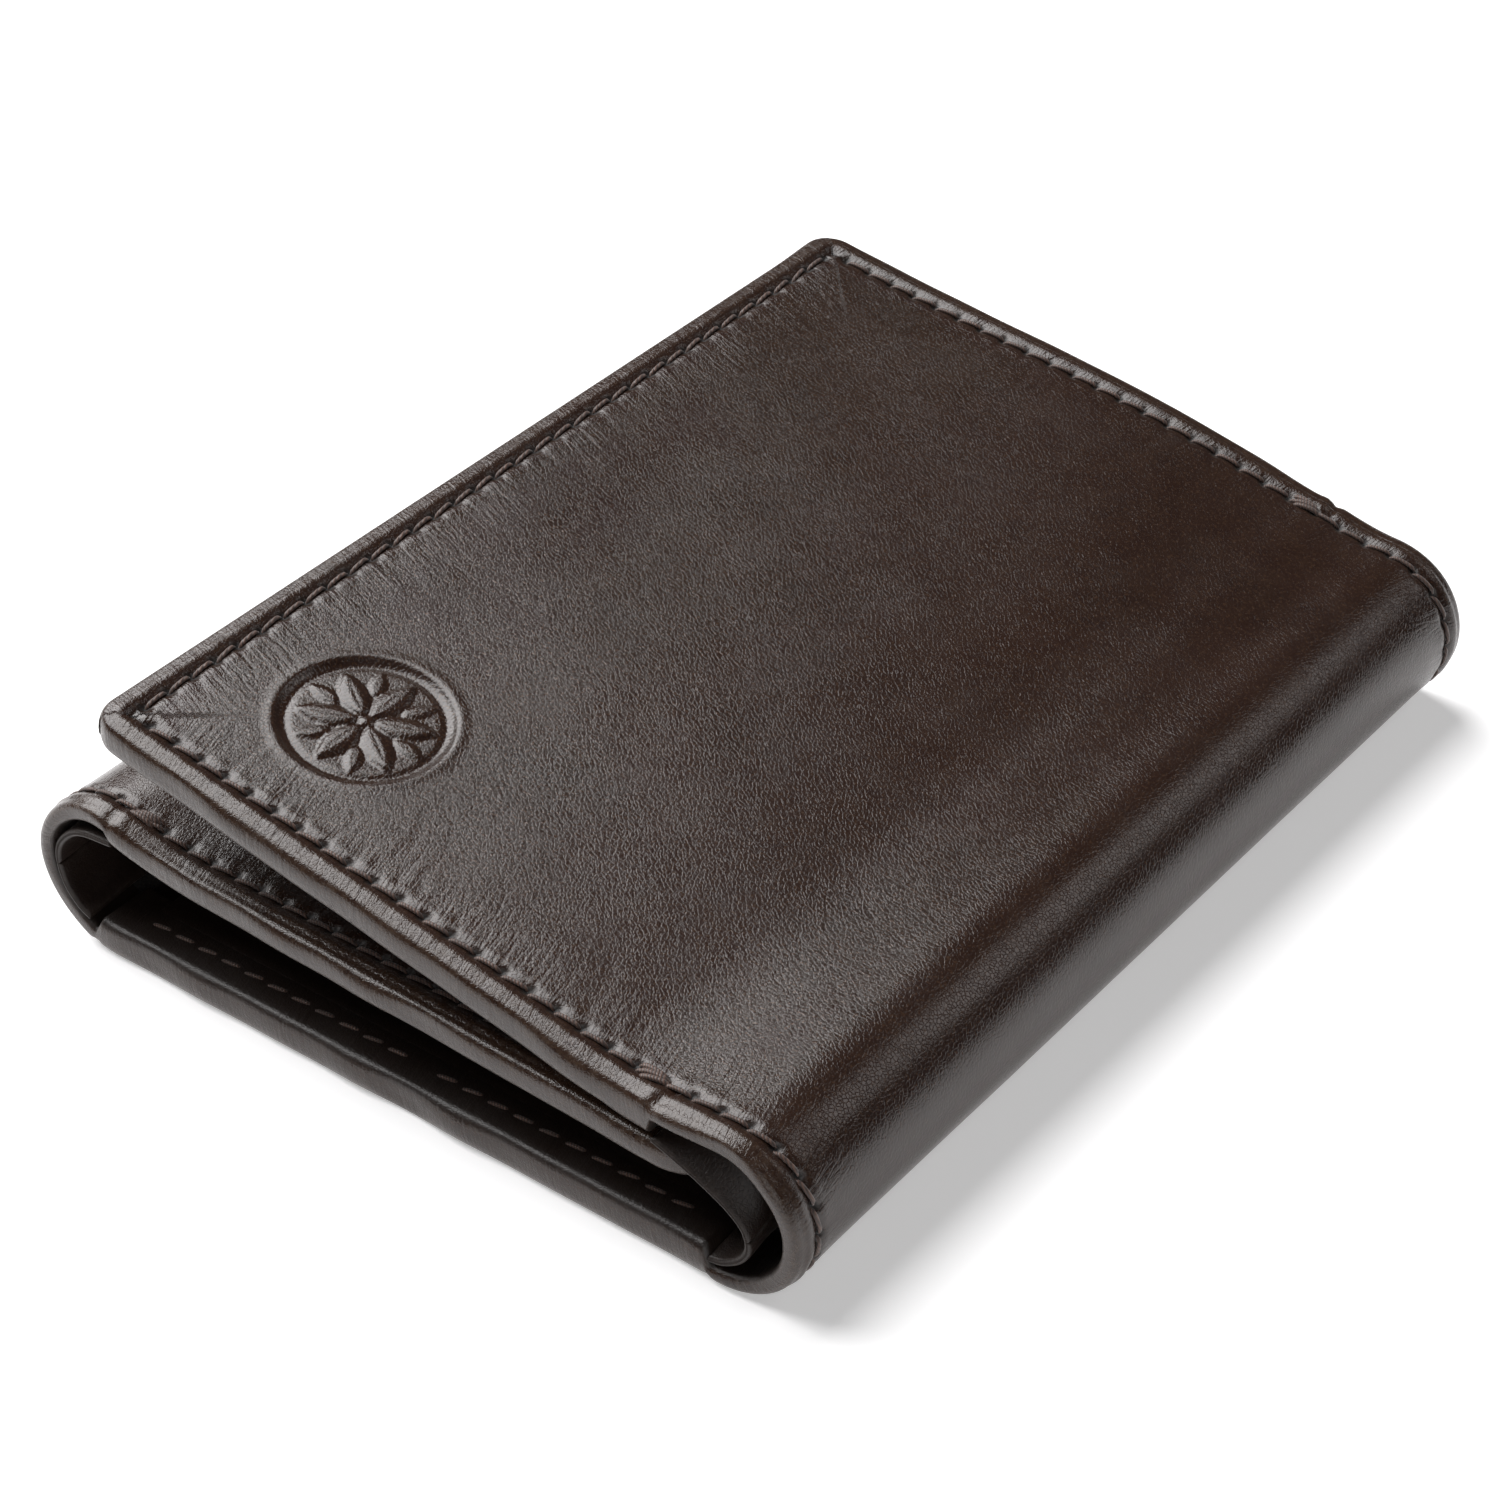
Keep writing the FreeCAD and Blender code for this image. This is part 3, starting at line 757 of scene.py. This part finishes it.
class PinchedStrip:
    """An inner strip whose front end is drawn closer than the rest of it."""

    def __init__(self, front, deep, reach):
        self.front, self.deep, self.reach = front, deep, reach
        self.length, self.outward = deep.length, deep.outward

    def at(self, u, y, depth):
        u, y, depth = np.broadcast_arrays(*(np.asarray(v, float) for v in (u, y, depth)))
        near = self.front.at(u / self.length * self.front.length, y, depth)
        far = self.deep.at(u, y, depth)
        return near + (far - near) * ramp(y - FRONT, 0.0, self.reach)[..., None]


def inner_strip_profile(side, centre, panel_end, upper_end):
    """From the centre panel round the inside of a fold to the flap, and the way to the fold's middle."""
    start = math.degrees(math.acos(abs(panel_end - centre[0]) / INNER_RADIUS))
    x = centre[0] + side * INNER_RADIUS * math.cos(math.radians(start))
    z = centre[1] - INNER_RADIUS * math.sin(math.radians(start))
    lower = math.radians(start) * INNER_RADIUS
    lead = abs(upper_end - centre[0])
    runs = [(lower, side * start), (math.radians(90) * INNER_RADIUS, side * 90), (lead, 0)]
    return Profile((x, z), 90 - side * start, side, runs), lower


RIGHT_INNER, RIGHT_SPLIT = inner_strip_profile(1, RIGHT_INNER_CENTRE, CENTER_RIGHT + 0.05, COVER_NOTCH + 0.05)
LEFT_INNER, LEFT_SPLIT = inner_strip_profile(-1, LEFT_INNER_CENTRE, CENTER_LEFT - 0.05, MIDDLE_START[0] - 0.1)
RIGHT_INNER.arched = True
RIGHT_INNER_FRONT = Curve2D(
    [(32.0, 1.85), (33.4, 2.2), (35.2, 3.5), (36.15, 5.3), (35.75, 7.3),
     (34.2, 8.8), (31.8, 10.1), (29.3, 11.15), (26.95, 12.0)], 1)
LEFT_INNER_FRONT = Curve2D(
    [(-35.4, 2.9), (-36.7, 3.6), (-38.1, 5.4), (-38.65, 7.9), (-38.2, 10.0),
     (-36.6, 11.9), (-34.6, 12.9), (-31.1, 13.35)], -1)
RIGHT_STRIP = PinchedStrip(RIGHT_INNER_FRONT, RIGHT_INNER, 3.2)
LEFT_STRIP = PinchedStrip(LEFT_INNER_FRONT, LEFT_INNER, 6.0)
CENTER_PLANE = Profile((CENTER_LEFT, 0.0), 0, 1, [(CENTER_RIGHT - CENTER_LEFT, 0)])


# Materials

MIX_FACTOR, MIX_A, MIX_B, MIX_RESULT = 0, 6, 7, 2  # sockets of a mix node that mixes colours


class Value:
    """What a node gives out. Sums and products of values add the nodes that work them out."""

    def __init__(self, look, socket):
        self.look, self.socket = look, socket

    def __add__(self, other):
        return self.look.calc("ADD", self, other)

    def __sub__(self, other):
        return self.look.calc("SUBTRACT", self, other)

    def __mul__(self, other):
        return self.look.calc("MULTIPLY", self, other)

    def __truediv__(self, other):
        return self.look.calc("DIVIDE", self, other)

    def __pow__(self, other):
        return self.look.calc("POWER", self, other)


class Look:
    """A material with one shader, and the nodes that feed it."""

    def __init__(self, name):
        self.material = bpy.data.materials.new(name)
        self.material.use_nodes = True
        self.tree = self.material.node_tree
        self.tree.nodes.clear()
        output = self.tree.nodes.new("ShaderNodeOutputMaterial")
        self.shader = self.tree.nodes.new("ShaderNodeBsdfPrincipled")
        self.tree.links.new(self.shader.outputs["BSDF"], output.inputs["Surface"])

    def fill(self, node, inputs):
        """Sets a node's sockets to numbers or colours, or links them to values."""
        for name, value in inputs.items():
            if isinstance(value, Value):
                self.tree.links.new(value.socket, node.inputs[name])
            else:
                node.inputs[name].default_value = (*value, 1.0) if isinstance(value, tuple) else value

    def shade(self, inputs):
        self.fill(self.shader, inputs)
        return self.material

    def node(self, kind, inputs, output, **settings):
        """The output of a new node with these settings and inputs."""
        made = self.tree.nodes.new(kind)
        for name, value in settings.items():
            setattr(made, name, value)
        self.fill(made, inputs)
        return Value(self, made.outputs[output])

    def calc(self, operation, a, b=0.0):
        return self.node("ShaderNodeMath", {0: a, 1: b}, "Value", operation=operation)

    def falloff(self, distance):
        """1 where the distance is 0, and close to 0 where it is large."""
        return self.calc("POWER", math.e, distance * -1.0)

    def place(self):
        """Millimetres along the leather."""
        return self.node("ShaderNodeUVMap", {}, "UV", uv_map="leather")

    def attribute(self, name):
        return self.node("ShaderNodeAttribute", {}, "Fac", attribute_name=name)

    def noise(self, place, scale, detail=2.0, roughness=0.5, distortion=0.0):
        shape = {"Scale": scale, "Detail": detail, "Roughness": roughness, "Distortion": distortion}
        return self.node("ShaderNodeTexNoise", {"Vector": place, **shape}, "Fac")

    def spread(self, value, low, high, to_low=0.0, to_high=1.0):
        """The value moved from one range to another and held inside it."""
        ends = {"From Min": low, "From Max": high, "To Min": to_low, "To Max": to_high}
        return self.node("ShaderNodeMapRange", {"Value": value, **ends}, "Result")

    def mix(self, factor, a, b):
        inputs = {MIX_FACTOR: factor, MIX_A: a, MIX_B: b}
        return self.node("ShaderNodeMix", inputs, MIX_RESULT, data_type="RGBA")

    def bump(self, height, strength, distance, normal=None):
        inputs = {"Height": height, "Strength": strength, "Distance": distance * MM}
        if normal is not None:
            inputs["Normal"] = normal
        return self.node("ShaderNodeBump", inputs, "Normal")


def seam_holes(look):
    """1 in the needle holes of a seam, 0 elsewhere."""
    across = look.attribute("ring") - (SEAM_INSET + 0.12)
    beat = look.attribute("along") / STITCH_PITCH
    from_hole = (beat - look.calc("FLOOR", beat + 0.5)) * STITCH_PITCH
    slanted = from_hole + across * -0.35
    return look.falloff((across / 0.50) ** 2.0 + (slanted / 0.36) ** 2.0) * look.attribute("sewn")


def seam_painted_shade(look):
    """1 along the bottom of a seam's groove, where painted shade darkens the leather."""
    across = (look.attribute("ring") - SEAM_INSET) / 0.30
    return look.falloff(across ** 2.0) * look.attribute("sewn")


def edge_creases(look):
    """Fine creases across the edges: strong beside the seams and on the turned edges, fading inwards."""
    ring = look.attribute("ring")
    lean = look.attribute("along") + ring * 0.25
    place = look.node("ShaderNodeCombineXYZ", {"X": lean * 1.8, "Y": ring * 0.26}, "Vector")
    lines = look.noise(place, 1.0, 3.0, 0.55, 0.9)
    patches = look.spread(look.noise(place, 0.11), 0.35, 0.6, 0.25, 1.0)
    near = look.spread(ring, 2.6, 10.5, 1.0, 0.0)
    rolled = look.spread(ring, 0.9, 2.2, 0.55, 1.0)
    return look.spread(lines, 0.30, 0.66) * (near * rolled * patches)


# Leather where it is scuffed pale, and painted shade on its underside, in a seam's groove and in a needle
# hole
PALER = (1.7, 2.1, 2.4)
UNDERSIDE_PAINTED_SHADE = (0.003, 0.0018, 0.0013)
GROOVE_PAINTED_SHADE = (0.004, 0.0022, 0.0016)
HOLE_PAINTED_SHADE = (0.0015, 0.001, 0.0008)


def leather(name, dark, light, worn, roughness, grain_depth, specular):
    look = Look(name)
    place = look.place()
    cloud = look.noise(place, 0.055, 4.0, 0.55, 0.4)
    mottle = look.noise(place, 0.45, 4.0, 0.6)
    grain_and_glint_specks = look.noise(place, 3.0, 2.0, 0.6)
    wear = look.attribute("wear") * look.spread(look.noise(place, 1.3, 5.0, 0.7), 0.36, 0.66)
    inside = look.attribute("inside")
    holes = seam_holes(look)
    base = look.mix(look.spread(cloud, 0.32, 0.68), dark, light)
    base = look.mix(look.spread(mottle, 0.35, 0.7, 0.0, 0.35), base, worn)
    # Fine lighter specks: partly the grain's own tone, partly painted glints of the grain.
    base = look.mix(look.spread(grain_and_glint_specks, 0.52, 0.66, 0.0, 0.9), base, worn)
    base = look.mix(wear * 0.65, base, tuple(factor * c for factor, c in zip(PALER, worn)))
    # Painted shade: the undersides of the turned edges darkened almost to black.
    base = look.mix(inside * 0.72, base, UNDERSIDE_PAINTED_SHADE)
    # Painted shade along the bottom of each seam's groove.
    base = look.mix(seam_painted_shade(look) * 0.65, base, GROOVE_PAINTED_SHADE)
    # Painted shade: the needle holes darkened almost to black.
    base = look.mix(holes, base, HOLE_PAINTED_SHADE)
    gloss = look.noise(place, 0.16, 5.0, 0.6)
    gloss = look.spread(gloss, 0.3, 0.7, roughness - 0.04, roughness + 0.05)
    gloss = gloss + wear * 0.08 + inside * 0.18 + holes * 0.4 - look.attribute("pressed") * 0.04
    cell_inputs = {"Vector": place, "Scale": 2.9, "Randomness": 1.0}
    cells = look.node("ShaderNodeTexVoronoi", cell_inputs, "Distance", feature="DISTANCE_TO_EDGE")
    height = look.spread(cells, 0.0, 0.14) * 0.5 + look.noise(place, 3.8, 2.0, 0.6) * 0.95
    normal = look.bump(height, 0.8, grain_depth)
    normal = look.bump(look.noise(place, 0.9, 5.0, 0.62, 0.6), 0.5, grain_depth * 2.2, normal)
    normal = look.bump(edge_creases(look), 1.0, 0.052, normal)
    normal = look.bump(holes * -1.0, 1.0, 0.20, normal)
    return look.shade({
        "Base Color": base, "Roughness": gloss, "Normal": normal, "Specular IOR Level": specular,
        "Sheen Weight": 0.03, "Sheen Roughness": 0.45, "Sheen Tint": (0.8, 0.72, 0.66),
    })


def fabric(name, dark, light, threads_per_mm):
    """Plain weave: two sets of threads over and under each other."""
    look = Look(name)
    place = look.place()
    rate = 2 * math.pi * threads_per_mm
    ways = (look.node("ShaderNodeSeparateXYZ", {"Vector": place}, axis) for axis in "XY")
    warp, weft = (look.calc("SINE", way * rate) for way in ways)
    weave = warp * weft
    fuzz = look.noise(place, 6.0, 3.0, 0.7)
    cloud = look.noise(place, 0.12, 4.0, 0.6)
    base = look.mix(look.spread(weave, -1.0, 1.0, 0.0, 0.8), dark, light)
    base = look.mix(look.spread(cloud, 0.3, 0.7, 0.0, 0.5), base, dark)
    return look.shade({
        "Base Color": base, "Roughness": look.spread(fuzz, 0.3, 0.7, 0.7, 0.9),
        "Normal": look.bump(weave + fuzz * 0.6, 0.6, 0.05),
        "Sheen Weight": 0.25, "Specular IOR Level": 0.2,
    })


def thread_material(name, dark, light):
    """Twisted waxed thread; its lighter bands along the twist are partly painted highlight."""
    look = Look(name)
    place = look.place()
    bands = {"Vector": place, "Scale": 1.1, "Distortion": 1.0, "Detail": 2.0}
    twist = look.node("ShaderNodeTexWave", bands, "Fac", wave_type="BANDS", bands_direction="DIAGONAL")
    tone = look.noise(place, 0.5, 3.0, 0.6)
    base = look.mix(twist, dark, light)
    base = look.mix(look.spread(tone, 0.35, 0.65, 0.0, 0.6), base, dark)
    return look.shade({
        "Base Color": base, "Roughness": look.spread(tone, 0.3, 0.7, 0.42, 0.6),
        "Normal": look.bump(twist, 0.5, 0.06), "Sheen Weight": 0.2,
    })


OUTER_LEATHER = leather(
    "smooth_brown_leather", dark=(0.0125, 0.0050, 0.0031), light=(0.0185, 0.0079, 0.0052),
    worn=(0.033, 0.0168, 0.0094), roughness=0.22, grain_depth=0.024, specular=0.48)
INNER_LEATHER = leather(
    "inner_leather", dark=(0.0060, 0.0027, 0.0018), light=(0.0085, 0.0041, 0.0028),
    worn=(0.0135, 0.0072, 0.0046), roughness=0.42, grain_depth=0.030, specular=0.32)
LINING = fabric("woven_lining", (0.010, 0.008, 0.007), (0.024, 0.019, 0.016), 1.6)
# The thread's light tone is partly painted highlight on the bands of its twist.
THREAD = thread_material("waxed_thread", (0.022, 0.0105, 0.0072), (0.110, 0.056, 0.038))


# Pieces, the CAD nodes that they stand for, and the panels that some of them are tied to


def finish_piece(made, material, nodes):
    made.data.materials.append(material)
    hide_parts(*nodes)
    return made


def build_skins():
    for skin in SKINS:
        skin.blend(finish_piece(skin.build(), OUTER_LEATHER, skin.nodes("shell")))


def build_threads():
    front, back = FRONT + SEAM_INSET, BACK - SEAM_INSET
    upright = math.radians(FOLD_UPRIGHT) * RIGHT_RADIUS
    for skin in SKINS:
        thread = Thread(skin.part + "_thread", skin.profile)
        end = skin.profile.length - (SEAM_INSET if skin.free else 0)
        for y in (front, back):
            thread.along_profile(0.0, end if skin.free else upright, y)
            if not skin.free:
                thread.along_profile(upright + 0.5, end, y, depth=CENTER_SEAM_SINK)
        below = {"depth": skin.thickness, "inner": True}
        thread.along_profile(skin.notch + 2.6, end, front, **below)
        if skin.free:
            thread.along_edge(end, front, back)
            thread.along_edge(end, front, back - 6.0, **below)
        skin.blend(finish_piece(thread.build(), THREAD, skin.nodes("edge_thread")))
        tacks = Thread(skin.part + "_tacks", skin.profile)
        for y in (front, back):
            tacks.tack(skin.notch + 1.6, y, 0.0 if skin.free else CENTER_TACK_SINK)
        skin.blend(finish_piece(tacks.build(), THREAD, skin.nodes("bar_tacks")[:1]))


def build_linings():
    """Woven lining behind the outer leather, from each fold's middle to the panel's end."""
    y_span = (FRONT + LINING_INSET, BACK - 2 * TURNED_RIM)
    for number, skin in enumerate(SKINS):
        layers = LAYERS[skin.bodies[1]]

        def depths(u, notch=skin.notch, shell=layers["shell"], thick=layers["lining"]):
            outer = LINING_FOLD_DEPTH + (shell - LINING_FOLD_DEPTH) * ramp(u, notch - 0.6, notch + 0.4)
            return outer, outer + thick

        u_span = (0.0, skin.profile.length - (TURNED_RIM if skin.free else 0))
        name = "lining_" + skin.part
        made = sheet_piece(name, skin.profile, u_span, y_span, depths, soft=0.1, seed=number, step=1.2)
        skin.blend(finish_piece(made, LINING, skin.nodes("shell_lining")))


def panel_place(panel):
    """The profile that a panel's inner layers lie on, where they start and end on it, and their last gap."""
    if panel == "center":
        return CENTER_PLANE, 0.0, CENTER_PLANE.length, LAYER_GAP
    profile, start_x = (COVER, COVER_END[0]) if panel == "cover_flap" else (MIDDLE, MIDDLE_START[0])
    return profile, profile.u_at_x(start_x), profile.length, TURNED_RIM


def ride_leather(made, panel, kind):
    """An inner leather piece that moves with its panel."""
    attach(finish_piece(made, INNER_LEATHER, (f"{panel}_{kind}",)), panel)


def build_inner_layers():
    y_span = (FRONT + TURNED_RIM, BACK - MOUTH_STEP)
    for number, (panel, layers) in enumerate(LAYERS.items()):
        profile, start, end, end_gap = panel_place(panel)
        u_span = (start + LAYER_GAP, end - end_gap)
        divider = layers["shell"] + layers["lining"] + layers["gap"]
        facing = divider + layers["divider"]
        face = facing + layers["facing"]
        name, depths = f"divider_{panel}", (divider, facing)
        made = sheet_piece(name, profile, u_span, y_span, depths, soft=0.08, seed=number, step=1.5)
        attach(finish_piece(made, LINING, (f"{panel}_divider_lining",)), panel)
        name, depths = f"facing_{panel}", (facing, face)
        made = sheet_piece(name, profile, u_span, y_span, depths, soft=0.22, lip=True, wave=0.02,
                           seed=10 + number, step=0.9)
        ride_leather(made, panel, "facing")
        count, mouth = POCKETS[panel]
        pocket_span = (start + POCKET_MARGIN + POCKET_CLEARANCE[panel], end - POCKET_MARGIN)
        for k in range(count):
            high = mouth - k * POCKET_PITCH
            low = FRONT + POCKET_MARGIN if k == count - 1 else high - POCKET_PITCH - POCKET_OVERLAP
            depth = face + k * layers["pocket"]
            name, depths = f"card_pocket_{panel}_{k + 1}", (depth, depth + layers["pocket"])
            made = sheet_piece(name, profile, pocket_span, (low, high), depths, soft=0.16, lip=True,
                               wave=0.012, seed=20 + 5 * number + k, step=1.0)
            ride_leather(made, panel, f"card_pocket_{k + 1}")


def build_notch_filler():
    start = COVER.u_at_x(COVER_NOTCH)
    u_span, y_span = (start + 0.05, start + 3.2), (FRONT + TURNED_RIM, BACK - MOUTH_STEP)
    depths = (STRIP_THICKNESS - 0.4, COVER_THICKNESS + 0.2)
    made = sheet_piece("notch_edge_cover_flap", COVER, u_span, y_span, depths, soft=0.3, seed=41)
    ride_leather(made, "cover_flap", "notch_filler")


def build_inner_strips():
    """The thin strips inside the two folds, each in two halves that meet at the fold's middle."""
    sides = (
        ("right", RIGHT_STRIP, RIGHT_SPLIT, "cover_flap"),
        ("left", LEFT_STRIP, LEFT_SPLIT, "middle_flap"),
    )
    for number, (side, strip, split, flap) in enumerate(sides):
        spine = f"{side}_spine"
        halves = (
            ("upper", (split, strip.length), BEND_TO, flap, (f"{flap}_inner_strip", f"{spine}_inner_strip")),
            ("lower", (0.0, split), -STRIP_BEND, "center", ("center_inner_strips",)),
        )
        for half, u_span, bend, panel, nodes in halves:
            made = sheet_piece(f"inner_strip_{side}_{half}", strip, u_span, (FRONT, BACK - MOUTH_STEP),
                               (0.0, INNER_STRIP_THICKNESS), soft=0.32, wave=0.04, seed=50 + number, step=0.6)
            finish_piece(made, INNER_LEATHER, nodes)
            far = split + math.radians(bend) * INNER_RADIUS
            start, end = (tuple(strip.deep.at(u, 0.0, 0.0) * MM) for u in (split, far))
            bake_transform(made)


build_skins()
build_threads()
build_linings()
build_inner_layers()
build_notch_filler()
build_inner_strips()


# Camera, floor and lights

CAMERA_AZIMUTH, CAMERA_ELEVATION, CAMERA_ROLL = 38.993, 36.592, -1.762
CAMERA_TARGET = (-7.587, 5.862, -0.4)
CAMERA_DISTANCE = 331.565
CAMERA_LENS = 86.92
FLOOR_REACH, FLOOR_POINTS, FLOOR_HEIGHT = 3000.0, 25, -0.02


def build_camera():
    a, e, roll = (math.radians(angle) for angle in (CAMERA_AZIMUTH, CAMERA_ELEVATION, CAMERA_ROLL))
    looking = Vector((-math.sin(a) * math.cos(e), math.cos(a) * math.cos(e), -math.sin(e)))
    right = Vector((math.cos(a), math.sin(a), 0))
    up = right.cross(looking)
    rolled_right = right * math.cos(roll) + up * math.sin(roll)
    rolled_up = up * math.cos(roll) - right * math.sin(roll)
    data = bpy.data.cameras.new("camera")
    data.lens, data.sensor_width = CAMERA_LENS, 36.0
    data.clip_start, data.clip_end = 0.01, 20.0
    camera = bpy.data.objects.new("camera", data)
    bpy.context.scene.collection.objects.link(camera)
    turn = Matrix((rolled_right, rolled_up, -looking)).transposed().to_4x4()
    place = (Vector(CAMERA_TARGET) - looking * CAMERA_DISTANCE) * MM
    camera.matrix_world = Matrix.Translation(place) @ turn
    bpy.context.scene.camera = camera


def build_floor():
    line = np.linspace(-FLOOR_REACH, FLOOR_REACH, FLOOR_POINTS)
    x, y = np.meshgrid(line, line, indexing="ij")
    points = np.stack([x, y, np.full_like(x, FLOOR_HEIGHT)], axis=-1).reshape(-1, 3)
    made = to_mesh("floor", points, grid_faces(FLOOR_POINTS, FLOOR_POINTS, True))
    made.data.materials.append(Look("pale_floor").shade({
        "Base Color": (0.86, 0.86, 0.865), "Roughness": 0.75, "Specular IOR Level": 0.15,
        "Emission Color": (1, 1, 1), "Emission Strength": 0.34,
    }))


def area_light(name, direction, distance, width, power, colour=(1, 1, 1)):
    """A round soft light that faces the wallet from a direction."""
    data = bpy.data.lights.new(name, "AREA")
    data.shape = "DISK"
    data.size = width * MM
    data.energy = power
    data.color = colour
    light = bpy.data.objects.new(name, data)
    bpy.context.scene.collection.objects.link(light)
    direction = Vector(direction).normalized()
    light.location = direction * distance * MM
    light.rotation_mode = "QUATERNION"
    light.rotation_quaternion = direction.to_track_quat("Z", "Y")


def build_lights():
    area_light("window", (-0.60, 0.05, 0.80), 900, 1010, 18.0, (1.0, 0.99, 0.99))
    area_light("front_fill", (0.62, -0.62, 0.48), 1200, 900, 3.0)
    area_light("back_glow", (0.50, 0.60, 0.62), 1100, 460, 1.2, (1.0, 0.95, 0.93))
    world = bpy.data.worlds.new("studio")
    bpy.context.scene.world = world
    world.use_nodes = True
    sky = world.node_tree.nodes["Background"].inputs
    sky["Color"].default_value = (0.92, 0.94, 1.0, 1)
    sky["Strength"].default_value = 0.04
    bpy.context.scene.view_settings.view_transform = "Standard"


build_camera()
build_floor()
build_lights()
